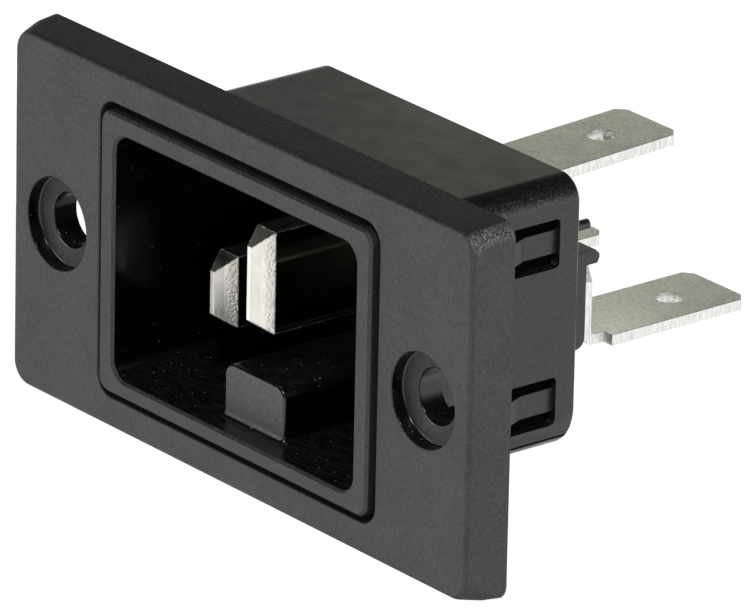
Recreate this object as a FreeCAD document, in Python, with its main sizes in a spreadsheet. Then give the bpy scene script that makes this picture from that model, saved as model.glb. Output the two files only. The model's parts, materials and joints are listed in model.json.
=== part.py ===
import FreeCAD, Part
import math
import os
import Sketcher

# Panel inlet socket: a moulded body with a shrouded cavity and three flat contact blades,
# snapped into a screw-on mounting frame, with three folded quick-connect tabs behind it.
# Frame of reference: +Z up, +Y into the panel, +X to the right when facing the socket.
# The origin is the centre of the mounting frame's rear face, the face that meets the panel.

doc = FreeCAD.newDocument("panel_inlet_socket")
sheet = doc.addObject("Spreadsheet::Sheet", "Sizes")
SIZES = [
    # mounting frame
    ("frame_width", 50.6),
    ("frame_height", 26.8),
    ("frame_thickness", 3.2),
    ("frame_corner_radius", 1.2),
    ("frame_land", 1.45),
    ("frame_front_inset", 0.46),
    ("frame_front_corner_radius", 1.7),
    ("frame_edge_round", 0.45),
    ("screw_spacing", 40.0),
    ("screw_bore", 3.9),
    ("screw_counterbore", 6.62),
    ("counterbore_depth", 1.0),
    ("counterbore_cone", 0.25),
    ("seat_ledge_thickness", 1.1),
    ("groove_width", 0.52),
    ("fit_clearance", 0.1),
    ("edge_break", 0.08),
    # body rim and box
    ("rim_width", 29.4),
    ("rim_height", 20.45),
    ("rim_corner_radius", 1.0),
    ("rim_stand", 0.35),
    ("rim_side_wall", 1.55),
    ("rim_top_wall", 1.45),
    ("rim_bottom_wall", 1.225),
    ("rim_edge_break", 0.2),
    ("mouth_corner_radius", 1.4),
    ("seat_flange_thickness", 0.8),
    ("box_side_inset", 0.41),
    ("box_top_inset", 0.27),
    ("box_corner_radius", 1.8),
    ("box_lower_corner_radius", 3.3),
    ("box_length", 14.87),
    ("box_edge_break", 0.25),
    ("floor_thickness", 2.67),
    # key rib on the cavity's lower wall
    ("key_width", 6.54),
    ("key_height", 3.905),
    ("key_setback", 2.05),
    ("key_corner_radius", 0.9),
    ("key_front_round", 0.3),
    ("key_foot_radius", 0.5),
    # sprung tongues in the side walls
    ("tongue_rise", 5.7),
    ("window_height", 3.5),
    ("window_rear", 13.05),
    ("window_corner_radius", 0.35),
    ("window_floor", 0.35),
    ("tongue_height", 1.68),
    ("tongue_recess", 0.4),
    ("tongue_ramp_start", 10.3),
    ("tongue_ramp_angle", 22.0),
    ("tongue_thickness", 0.85),
    ("tongue_hinge", 4.2),
    ("catch_overhang", 0.46),
    ("catch_seat_depth", 0.5),
    ("catch_seat_margin", 0.3),
    ("catch_relief", 0.1),
    ("catch_clearance", 0.05),
    # rear carrier block
    ("block_width", 20.2),
    ("block_length", 4.13),
    ("block_bottom", 4.6),
    ("block_step", 2.4),
    ("block_edge_round", 0.8),
    ("tower_width", 17.7),
    ("tower_top", 6.5),
    ("hook_height", 1.0),
    ("hook_reach", 1.13),
    ("hook_chamfer", 0.35),
    ("peg_diameter", 0.72),
    ("peg_reach", 1.4),
    ("peg_rise", 3.62),
    ("peg_inset", 0.45),
    # contact blades
    ("blade_thickness", 2.0),
    ("blade_nose_width", 0.46),
    ("blade_nose_length", 1.47),
    ("blade_nose_drop", 1.03),
    ("blade_socket_depth", 1.5),
    ("blade_clearance", 0.03),
    ("blade_spacing", 8.0),
    ("side_blade_height", 5.17),
    ("side_blade_rise", -2.215),
    ("side_blade_setback", 4.58),
    ("earth_blade_height", 7.35),
    ("earth_blade_rise", 1.675),
    ("earth_blade_setback", 1.44),
    ("tail_height", 2.7),
    ("tail_width", 1.8),
    ("tail_stand", 0.9),
    ("tail_edge_break", 0.25),
    ("side_tail_rise", -1.55),
    ("earth_tail_rise", 1.7),
    # folded quick-connect terminals
    ("tab_width", 6.35),
    ("tab_thickness", 0.8),
    ("tab_length", 14.2),
    ("neck_length", 1.1),
    ("tab_chamfer_width", 0.95),
    ("tab_chamfer_length", 0.8),
    ("tab_lead_in", 0.2),
    ("tab_hole_diameter", 1.95),
    ("tab_hole_setback", 4.6),
    ("leg_width", 4.5),
    ("leg_corner_width", 0.65),
    ("leg_corner_length", 1.4),
    ("bend_inner_radius", 0.3),
    ("side_terminal_spacing", 7.6),
    ("side_tab_drop", 3.88),
    ("hook_gap", 0.05),
    ("hook_underside", 1.4),
    ("earth_tab_rise", 5.3),
    ("earth_tab_angle", 2.4),
    ("earth_leg_length", 5.9),
]
for row, (alias, number) in enumerate(SIZES, start=1):
    sheet.set("A%d" % row, alias)
    sheet.set("B%d" % row, "%s" % number)
    sheet.setAlias("B%d" % row, alias)
doc.recompute()


# A size that knows its present value and the sheet expression that it follows.
class Size:
    def __init__(self, value, text):
        self.value = value
        self.text = text

    def __add__(self, other):
        other = as_size(other)
        return Size(self.value + other.value, "(%s + %s)" % (self.text, other.text))

    def __sub__(self, other):
        other = as_size(other)
        return Size(self.value - other.value, "(%s - %s)" % (self.text, other.text))

    def __mul__(self, other):
        other = as_size(other)
        return Size(self.value * other.value, "(%s * %s)" % (self.text, other.text))

    def __truediv__(self, other):
        other = as_size(other)
        return Size(self.value / other.value, "(%s / %s)" % (self.text, other.text))

    def __neg__(self):
        return Size(-self.value, "(0 - %s)" % self.text)


def as_size(item):
    if isinstance(item, Size):
        return item
    return Size(float(item), "%s" % item)


def tangent(angle):
    return Size(math.tan(math.radians(angle.value)), "tan(%s)" % angle.text)


def cosine(angle):
    return Size(math.cos(math.radians(angle.value)), "cos(%s)" % angle.text)


S = {alias: Size(float(getattr(sheet, alias)), "Sizes.%s" % alias) for alias, number in SIZES}
NONE = as_size(0)

# Places along the depth, from the panel face.
front = -S["frame_thickness"]
ledge = -S["seat_ledge_thickness"]
flange_front = ledge - S["seat_flange_thickness"]
rim_front = front - S["rim_stand"]
floor_face = S["box_length"] - S["floor_thickness"]
block_rear = S["box_length"] + S["block_length"]
leg_seat = block_rear
leg_rear = leg_seat + S["tab_thickness"]
tail_end = leg_rear + S["tail_stand"]
tab_shoulder = leg_rear + S["neck_length"]
tab_end = leg_seat + S["tab_length"]

# Half widths and half heights that mating pieces share.
rim_x = S["rim_width"] / 2
rim_z = S["rim_height"] / 2
mouth_x = rim_x - S["rim_side_wall"]
mouth_top = rim_z - S["rim_top_wall"]
mouth_bottom = S["rim_bottom_wall"] - rim_z
recess_x = rim_x + S["groove_width"]
recess_z = rim_z + S["groove_width"]
seat_x = recess_x - S["fit_clearance"]
seat_z = recess_z - S["fit_clearance"]
box_x = rim_x - S["box_side_inset"]
box_z = rim_z - S["box_top_inset"]
opening_x = box_x + S["fit_clearance"]
opening_z = box_z + S["fit_clearance"]


def new_body(label):
    body = doc.addObject("PartDesign::Body", label)
    body.Label = label
    return body


def new_sketch(body, name, role, offset):
    sketch = body.newObject("Sketcher::SketchObject", name)
    plane = [item for item in body.Origin.OriginFeatures if item.Role == role][0]
    sketch.AttachmentSupport = (plane, [""])
    sketch.MapMode = "FlatFace"
    offset = as_size(offset)
    sketch.AttachmentOffset = FreeCAD.Placement(
        FreeCAD.Vector(0, 0, offset.value), FreeCAD.Rotation()
    )
    sketch.setExpression("AttachmentOffset.Base.z", offset.text)
    return sketch


def bind(sketch, kind, first, spot, size):
    if kind == "Radius":
        index = sketch.addConstraint(Sketcher.Constraint(kind, first, size.value))
    else:
        index = sketch.addConstraint(Sketcher.Constraint(kind, -1, 1, first, spot, size.value))
    name = "c%d" % index
    sketch.renameConstraint(index, name)
    sketch.setExpression("Constraints.%s" % name, size.text)


def add_polygon(sketch, points):
    points = [(as_size(a), as_size(b)) for a, b in points]
    start = sketch.GeometryCount
    count = len(points)
    places = [FreeCAD.Vector(a.value, b.value, 0) for a, b in points]
    for i in range(count):
        sketch.addGeometry(Part.LineSegment(places[i], places[(i + 1) % count]), False)
    for i in range(count):
        following = start + (i + 1) % count
        sketch.addConstraint(Sketcher.Constraint("Coincident", start + i, 2, following, 1))
    for i, (a, b) in enumerate(points):
        bind(sketch, "DistanceX", start + i, 1, a)
        bind(sketch, "DistanceY", start + i, 1, b)


def add_circle(sketch, a, b, radius):
    a = as_size(a)
    b = as_size(b)
    index = sketch.GeometryCount
    centre = FreeCAD.Vector(a.value, b.value, 0)
    sketch.addGeometry(Part.Circle(centre, FreeCAD.Vector(0, 0, 1), radius.value), False)
    bind(sketch, "DistanceX", index, 3, a)
    bind(sketch, "DistanceY", index, 3, b)
    bind(sketch, "Radius", index, 3, radius)


# A rectangle with rounded corners, given by its centre, half sizes and corner radius.
# The two lower corners can have a radius of their own.
def add_rounded(sketch, a, b, half_a, half_b, radius, lower_radius=None):
    a = as_size(a)
    b = as_size(b)
    start = sketch.GeometryCount
    signs = [(1, 1), (-1, 1), (-1, -1), (1, -1)]
    corners = []
    for i, (sa, sb) in enumerate(signs):
        turn = lower_radius if lower_radius and sb < 0 else radius
        ca = a + (half_a - turn) * sa
        cb = b + (half_b - turn) * sb
        corners.append((ca, cb, turn))
        circle = Part.Circle(
            FreeCAD.Vector(ca.value, cb.value, 0), FreeCAD.Vector(0, 0, 1), turn.value
        )
        arc = Part.ArcOfCircle(circle, i * math.pi / 2, (i + 1) * math.pi / 2)
        sketch.addGeometry(arc, False)
    for i in range(4):
        first = sketch.Geometry[start + i].EndPoint
        second = sketch.Geometry[start + (i + 1) % 4].StartPoint
        sketch.addGeometry(Part.LineSegment(first, second), False)
    for i in range(4):
        line = start + 4 + i
        following = start + (i + 1) % 4
        sketch.addConstraint(Sketcher.Constraint("Tangent", start + i, 2, line, 1))
        sketch.addConstraint(Sketcher.Constraint("Tangent", line, 2, following, 1))
    for i, (ca, cb, turn) in enumerate(corners):
        bind(sketch, "DistanceX", start + i, 3, ca)
        bind(sketch, "DistanceY", start + i, 3, cb)
        bind(sketch, "Radius", start + i, 3, turn)


def pad(body, name, sketch, length, reverse=False, middle=False):
    feature = body.newObject("PartDesign::Pad", name)
    feature.Profile = sketch
    length = as_size(length)
    feature.Length = length.value
    feature.setExpression("Length", length.text)
    feature.Reversed = reverse
    if middle:
        feature.SideType = "Symmetric"
    doc.recompute()
    return feature


def pocket(body, name, sketch, length, reverse=False, middle=False):
    before = body.Shape.Volume
    feature = body.newObject("PartDesign::Pocket", name)
    feature.Profile = sketch
    length = as_size(length)
    feature.Length = length.value
    feature.setExpression("Length", length.text)
    feature.Reversed = reverse
    if middle:
        feature.SideType = "Symmetric"
    doc.recompute()
    if body.Shape.Volume >= before - 1e-6:
        raise ValueError("%s cuts nothing" % name)
    return feature


def mirror(body, name, originals, role):
    feature = body.newObject("PartDesign::Mirrored", name)
    feature.Originals = originals
    plane = [item for item in body.Origin.OriginFeatures if item.Role == role][0]
    feature.MirrorPlane = (plane, [""])
    body.Tip = feature
    doc.recompute()
    return feature


def names_of(body, wanted):
    found = []
    for index, edge in enumerate(body.Shape.Edges, start=1):
        if any(edge.isSame(item) for item in wanted):
            found.append("Edge%d" % index)
    return found


def dress(body, kind, name, edges, size):
    base = body.Tip
    names = names_of(body, edges)
    if not names:
        raise ValueError("%s finds no edge" % name)
    feature = body.newObject("PartDesign::%s" % kind, name)
    feature.Base = (base, names)
    if kind == "Fillet":
        feature.Radius = size.value
        feature.setExpression("Radius", size.text)
    else:
        feature.Size = size.value
        feature.setExpression("Size", size.text)
    doc.recompute()
    return feature


# The flat face that lies furthest along a direction.
def far_face(body, direction):
    best = None
    for face in body.Shape.Faces:
        if face.Surface.TypeId != "Part::GeomPlane":
            continue
        if abs(abs(face.normalAt(0, 0).dot(direction)) - 1) > 1e-6:
            continue
        reach = face.CenterOfMass.dot(direction)
        if best is None or reach > best[0] + 1e-6:
            best = (reach, face)
        elif abs(reach - best[0]) <= 1e-6 and face.Area > best[1].Area:
            best = (reach, face)
    return best[1]


# Edges whose two ends both pass a test on their place.
def edges_where(body, test):
    return [e for e in body.Shape.Edges if all(test(v.Point) for v in e.Vertexes)]


def near(one, other):
    value = other.value if isinstance(other, Size) else other
    return abs(one - value) < 1e-4


FORWARD = FreeCAD.Vector(0, -1, 0)
REARWARD = FreeCAD.Vector(0, 1, 0)

# ---------------------------------------------------------------------------
# Mounting frame: a straight land at the panel, a drafted front with a rounded edge,
# a stepped opening and two screw holes.
frame = new_body("mounting_frame")


def frame_outline(name, place, inset, radius):
    sketch = new_sketch(frame, name, "XZ_Plane", -place)
    half_x = S["frame_width"] / 2 - inset
    half_z = S["frame_height"] / 2 - inset
    add_rounded(sketch, 0, 0, half_x, half_z, radius)
    return sketch


land_front = -S["frame_land"]
land = frame_outline("land_outline", NONE, NONE, S["frame_corner_radius"])
doc.recompute()
pad(frame, "land", land, S["frame_land"])
draft_foot = frame_outline("draft_foot_outline", land_front, NONE, S["frame_corner_radius"])
draft_top = frame_outline("draft_top_outline", front, S["frame_front_inset"],
                          S["frame_front_corner_radius"])
doc.recompute()
drafted = frame.newObject("PartDesign::AdditiveLoft", "drafted_front")
drafted.Profile = draft_foot
drafted.Sections = [draft_top]
drafted.Ruled = True
doc.recompute()
dress(frame, "Fillet", "plate_front_round", far_face(frame, FORWARD).Edges, S["frame_edge_round"])

opening = new_sketch(frame, "opening_outline", "XZ_Plane", -front)
opening_radius = S["box_corner_radius"] + S["fit_clearance"]
opening_lower_radius = S["box_lower_corner_radius"] + S["fit_clearance"]
add_rounded(opening, 0, 0, opening_x, opening_z, opening_radius, opening_lower_radius)
doc.recompute()
pocket(frame, "opening", opening, S["frame_thickness"])
recess = new_sketch(frame, "recess_outline", "XZ_Plane", -front)
recess_radius = S["rim_corner_radius"] + S["groove_width"]
add_rounded(recess, 0, 0, recess_x, recess_z, recess_radius)
doc.recompute()
pocket(frame, "recess", recess, ledge - front)

# Reliefs in the rear face, where the body's four tongues catch below the panel's plane.
catch_x = opening_x + S["catch_overhang"]
seats = new_sketch(frame, "catch_seat_outlines", "XZ_Plane", NONE)
seat_inner = opening_x - S["catch_overhang"]
seat_outer = catch_x + S["catch_seat_margin"]
seat_half = S["tongue_height"] / 2 + S["catch_seat_margin"]
for side in (-1, 1):
    for level in (-1, 1):
        middle_z = S["tongue_rise"] * level
        add_polygon(seats, [
            (seat_inner * side, middle_z - seat_half),
            (seat_outer * side, middle_z - seat_half),
            (seat_outer * side, middle_z + seat_half),
            (seat_inner * side, middle_z + seat_half),
        ])
doc.recompute()
pocket(frame, "catch_seats", seats, S["catch_seat_depth"], reverse=True)

# One screw hole turned about its own axis: counterbore, slightly coned floor, bore.
hole_profile = new_sketch(frame, "screw_hole_profile", "XY_Plane", NONE)
hole_x = S["screw_spacing"] / 2
cone_start = front + S["counterbore_depth"]
add_polygon(hole_profile, [
    (hole_x, front - 1),
    (hole_x + S["screw_counterbore"] / 2, front - 1),
    (hole_x + S["screw_counterbore"] / 2, cone_start),
    (hole_x + S["screw_bore"] / 2, cone_start + S["counterbore_cone"]),
    (hole_x + S["screw_bore"] / 2, 1),
    (hole_x, 1),
])
axis_line = hole_profile.GeometryCount
hole_profile.addGeometry(
    Part.LineSegment(FreeCAD.Vector(hole_x.value, 0, 0), FreeCAD.Vector(hole_x.value, 2, 0)), True
)
bind(hole_profile, "DistanceX", axis_line, 1, hole_x)
bind(hole_profile, "DistanceX", axis_line, 2, hole_x)
bind(hole_profile, "DistanceY", axis_line, 1, as_size(0))
bind(hole_profile, "DistanceY", axis_line, 2, as_size(2))
doc.recompute()
volume_before = frame.Shape.Volume
screw_hole = frame.newObject("PartDesign::Groove", "screw_hole")
screw_hole.Profile = hole_profile
screw_hole.ReferenceAxis = (hole_profile, ["Axis0"])
screw_hole.Angle = 360
doc.recompute()
if frame.Shape.Volume >= volume_before:
    raise ValueError("the screw hole cuts nothing")
mirror(frame, "screw_hole_pair", [screw_hole], "YZ_Plane")
front_face = far_face(frame, FORWARD)
inner_edges = [e for w in front_face.Wires if not w.isSame(front_face.OuterWire) for e in w.Edges]
dress(frame, "Chamfer", "front_edge_breaks", inner_edges, S["edge_break"])

# ---------------------------------------------------------------------------
# Socket body: one moulding.
shell = new_body("socket_body")
box = new_sketch(shell, "box_outline", "XZ_Plane", -S["box_length"])
add_rounded(box, 0, 0, box_x, box_z, S["box_corner_radius"], S["box_lower_corner_radius"])
doc.recompute()
pad(shell, "box", box, S["box_length"] - ledge)
dress(shell, "Chamfer", "box_rear_break", far_face(shell, REARWARD).Edges, S["box_edge_break"])
seat = new_sketch(shell, "seat_flange_outline", "XZ_Plane", -ledge)
add_rounded(seat, 0, 0, seat_x, seat_z, recess_radius - S["fit_clearance"])
doc.recompute()
pad(shell, "seat_flange", seat, S["seat_flange_thickness"])
rim = new_sketch(shell, "rim_outline", "XZ_Plane", -flange_front)
add_rounded(rim, 0, 0, rim_x, rim_z, S["rim_corner_radius"])
doc.recompute()
pad(shell, "rim", rim, flange_front - rim_front)

# Rear carrier block and the narrower tower above it.
block = new_sketch(shell, "block_outline", "XZ_Plane", -block_rear)
block_x = S["block_width"] / 2
tower_x = S["tower_width"] / 2
add_polygon(block, [
    (-block_x, -S["block_bottom"]),
    (block_x, -S["block_bottom"]),
    (block_x, S["block_step"]),
    (tower_x, S["block_step"]),
    (tower_x, S["tower_top"]),
    (-tower_x, S["tower_top"]),
    (-tower_x, S["block_step"]),
    (-block_x, S["block_step"]),
])
doc.recompute()
pad(shell, "block", block, S["block_length"])


def on_block_bottom(point):
    return near(point.z, -S["block_bottom"]) and near(point.y, block_rear)


dress(shell, "Fillet", "block_bottom_round", edges_where(shell, on_block_bottom),
      S["block_edge_round"])

# Cavity with its mouth, then the key rib on the lower wall.
cavity = new_sketch(shell, "cavity_outline", "XZ_Plane", -rim_front)
mouth_middle = (mouth_top + mouth_bottom) / 2
mouth_half = (mouth_top - mouth_bottom) / 2
add_rounded(cavity, 0, mouth_middle, mouth_x, mouth_half, S["mouth_corner_radius"])
doc.recompute()
pocket(shell, "cavity", cavity, floor_face - rim_front)
dress(shell, "Chamfer", "rim_breaks", far_face(shell, FORWARD).Edges, S["rim_edge_break"])

key = new_sketch(shell, "key_outline", "XZ_Plane", -floor_face)
key_x = S["key_width"] / 2
key_top = mouth_bottom + S["key_height"]
key_root = mouth_bottom - S["rim_bottom_wall"] / 4
add_polygon(key, [
    (-key_x, key_root),
    (key_x, key_root),
    (key_x, key_top),
    (-key_x, key_top),
])
doc.recompute()
key_front = rim_front + S["key_setback"]
pad(shell, "key_rib", key, floor_face - key_front)


def on_key_corner(point):
    return near(point.z, key_top) and near(abs(point.x), key_x)


def along_depth(edge):
    return abs(edge.Vertexes[0].Point.y - edge.Vertexes[-1].Point.y) > 1e-3


key_corners = [e for e in edges_where(shell, on_key_corner) if along_depth(e)]
dress(shell, "Fillet", "key_corner_rounds", key_corners, S["key_corner_radius"])


key_face_edges = []
for face in shell.Shape.Faces:
    centre = face.CenterOfMass
    if near(centre.y, key_front) and abs(centre.x) < 1e-3 and face.Surface.TypeId == "Part::GeomPlane":
        for edge in face.Edges:
            if edge.CenterOfMass.z > mouth_bottom.value + 1e-3:
                key_face_edges.append(edge)
dress(shell, "Fillet", "key_front_rounds", key_face_edges, S["key_front_round"])
key_feet = []
for edge in shell.Shape.Edges:
    if all(near(v.Point.z, mouth_bottom) for v in edge.Vertexes) and len(edge.Vertexes) == 2:
        if abs(edge.CenterOfMass.x) < key_x.value + 1e-3 and edge.CenterOfMass.y < floor_face.value - 1e-3:
            if edge.BoundBox.YMin > key_front.value - 1e-3:
                key_feet.append(edge)
dress(shell, "Fillet", "key_foot_rounds", key_feet, S["key_foot_radius"])

# Windows in the side walls: blind, so that the cavity stays closed.
tongue_tip = S["catch_clearance"] - S["catch_seat_depth"]
window_front = tongue_tip - S["catch_relief"]
window_mid = (S["window_rear"] + window_front) / 2
window_half = (S["window_rear"] - window_front) / 2
window_floor_x = mouth_x + S["window_floor"]
windows = new_sketch(shell, "window_outlines", "YZ_Plane", window_floor_x)
for side in (1, -1):
    add_rounded(windows, window_mid, S["tongue_rise"] * side, window_half,
                S["window_height"] / 2, S["window_corner_radius"])
doc.recompute()
window_cut = pocket(shell, "windows", windows, box_x - window_floor_x + 1, reverse=True)
mirror(shell, "windows_both_sides", [window_cut], "YZ_Plane")

# Tongues: hinged at the rear, free in front, where they catch behind the mounting frame.
tongue_face = box_x - S["tongue_recess"]
ramp_end = S["tongue_ramp_start"] - (catch_x - tongue_face) / tangent(S["tongue_ramp_angle"])
hinge_end = S["window_rear"] - S["tongue_hinge"]
tongue_inner = catch_x - S["catch_relief"] - S["tongue_thickness"]
skin = (mouth_x + window_floor_x) / 2
tongue_parts = []
for side, word in ((1, "upper"), (-1, "lower")):
    tongue = new_sketch(shell, "%s_tongue_profile" % word, "XY_Plane", S["tongue_rise"] * side)
    add_polygon(tongue, [
        (skin, S["window_rear"] + S["tongue_recess"] / 2),
        (skin, hinge_end),
        (window_floor_x, hinge_end),
        (tongue_inner, hinge_end - S["tongue_thickness"]),
        (tongue_inner, tongue_tip),
        (catch_x - S["catch_relief"], tongue_tip),
        (catch_x, ramp_end),
        (tongue_face, S["tongue_ramp_start"]),
        (tongue_face, S["window_rear"] + S["tongue_recess"] / 2),
    ])
    doc.recompute()
    tongue_parts.append(pad(shell, "%s_tongue" % word, tongue, S["tongue_height"], middle=True))
mirror(shell, "tongues_both_sides", tongue_parts, "YZ_Plane")

# Hooks over the tops of the side legs, and the small pegs above them.
hooks = new_sketch(shell, "hook_profile", "YZ_Plane", S["side_terminal_spacing"])
hook_top = S["hook_underside"] + S["hook_height"]
hook_end = block_rear + S["hook_reach"]
add_polygon(hooks, [
    (block_rear - S["block_length"] / 2, S["hook_underside"]),
    (hook_end - S["hook_chamfer"] / 2, S["hook_underside"]),
    (hook_end, S["hook_underside"] + S["hook_chamfer"]),
    (hook_end, hook_top - S["hook_chamfer"]),
    (hook_end - S["hook_chamfer"], hook_top),
    (block_rear - S["block_length"] / 2, hook_top),
])
doc.recompute()
hook_pad = pad(shell, "hook", hooks, (block_x - S["side_terminal_spacing"]) * 2, middle=True)
pegs = new_sketch(shell, "peg_outline", "XZ_Plane", -block_rear)
add_circle(pegs, tower_x - S["peg_inset"], S["peg_rise"], S["peg_diameter"] / 2)
doc.recompute()
peg_pad = pad(shell, "peg", pegs, S["peg_reach"], reverse=True)
mirror(shell, "hooks_and_pegs", [hook_pad, peg_pad], "YZ_Plane")

# Sockets that take the blades and the smaller ways for their tails.
blade_x = S["blade_thickness"] / 2 + S["blade_clearance"]
tail_x = S["tail_width"] / 2 + S["blade_clearance"]
sockets = new_sketch(shell, "blade_socket_outlines", "XZ_Plane", -floor_face)
ways = new_sketch(shell, "tail_way_outlines", "XZ_Plane", -floor_face)
PLACES = [
    ("left", -S["blade_spacing"], S["side_blade_rise"], S["side_blade_height"], S["side_tail_rise"]),
    ("earth", NONE, S["earth_blade_rise"], S["earth_blade_height"], S["earth_tail_rise"]),
    ("right", S["blade_spacing"], S["side_blade_rise"], S["side_blade_height"], S["side_tail_rise"]),
]
for word, place, rise, height, tail_rise in PLACES:
    half = height / 2 + S["blade_clearance"]
    add_polygon(sockets, [
        (place - blade_x, rise - half),
        (place + blade_x, rise - half),
        (place + blade_x, rise + half),
        (place - blade_x, rise + half),
    ])
    half = S["tail_height"] / 2 + S["blade_clearance"]
    add_polygon(ways, [
        (place - tail_x, tail_rise - half),
        (place + tail_x, tail_rise - half),
        (place + tail_x, tail_rise + half),
        (place - tail_x, tail_rise + half),
    ])
doc.recompute()
pocket(shell, "blade_sockets", sockets, S["blade_socket_depth"])
pocket(shell, "tail_ways", ways, block_rear - floor_face + 1)


# ---------------------------------------------------------------------------
# Contact blades: a coined nose, a full section, and a tail that is staked over the terminal.
def contact_blade(word, place, rise, height, tail_rise, setback):
    body = new_body("%s_blade" % word)
    nose_y = rim_front + setback
    full_y = nose_y + S["blade_nose_length"]
    shoulder_y = floor_face + S["blade_socket_depth"]
    half = height / 2
    nose = new_sketch(body, "%s_nose" % word, "XZ_Plane", -nose_y)
    nose_half = half - S["blade_nose_drop"]
    nose_x = S["blade_nose_width"] / 2
    add_polygon(nose, [
        (place - nose_x, rise - nose_half),
        (place + nose_x, rise - nose_half),
        (place + nose_x, rise + nose_half),
        (place - nose_x, rise + nose_half),
    ])
    full = new_sketch(body, "%s_section" % word, "XZ_Plane", -full_y)
    full_x = S["blade_thickness"] / 2
    corners = [
        (place - full_x, rise - half),
        (place + full_x, rise - half),
        (place + full_x, rise + half),
        (place - full_x, rise + half),
    ]
    add_polygon(full, corners)
    doc.recompute()
    loft = body.newObject("PartDesign::AdditiveLoft", "%s_coined_nose" % word)
    loft.Profile = nose
    loft.Sections = [full]
    loft.Ruled = True
    doc.recompute()
    shank = new_sketch(body, "%s_shank_outline" % word, "XZ_Plane", -full_y)
    add_polygon(shank, corners)
    doc.recompute()
    pad(body, "%s_shank" % word, shank, shoulder_y - full_y, reverse=True)
    tail = new_sketch(body, "%s_tail_outline" % word, "XZ_Plane", -shoulder_y)
    add_polygon(tail, [
        (place - S["tail_width"] / 2, tail_rise - S["tail_height"] / 2),
        (place + S["tail_width"] / 2, tail_rise - S["tail_height"] / 2),
        (place + S["tail_width"] / 2, tail_rise + S["tail_height"] / 2),
        (place - S["tail_width"] / 2, tail_rise + S["tail_height"] / 2),
    ])
    doc.recompute()
    pad(body, "%s_tail" % word, tail, tail_end - shoulder_y, reverse=True)
    dress(body, "Chamfer", "%s_staked_edge" % word, far_face(body, REARWARD).Edges,
          S["tail_edge_break"])
    return body


SETBACKS = {
    "left": S["side_blade_setback"],
    "earth": S["earth_blade_setback"],
    "right": S["side_blade_setback"],
}
blades = []
for word, place, rise, height, tail_rise in PLACES:
    blades.append(contact_blade(word, place, rise, height, tail_rise, SETBACKS[word]))


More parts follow.
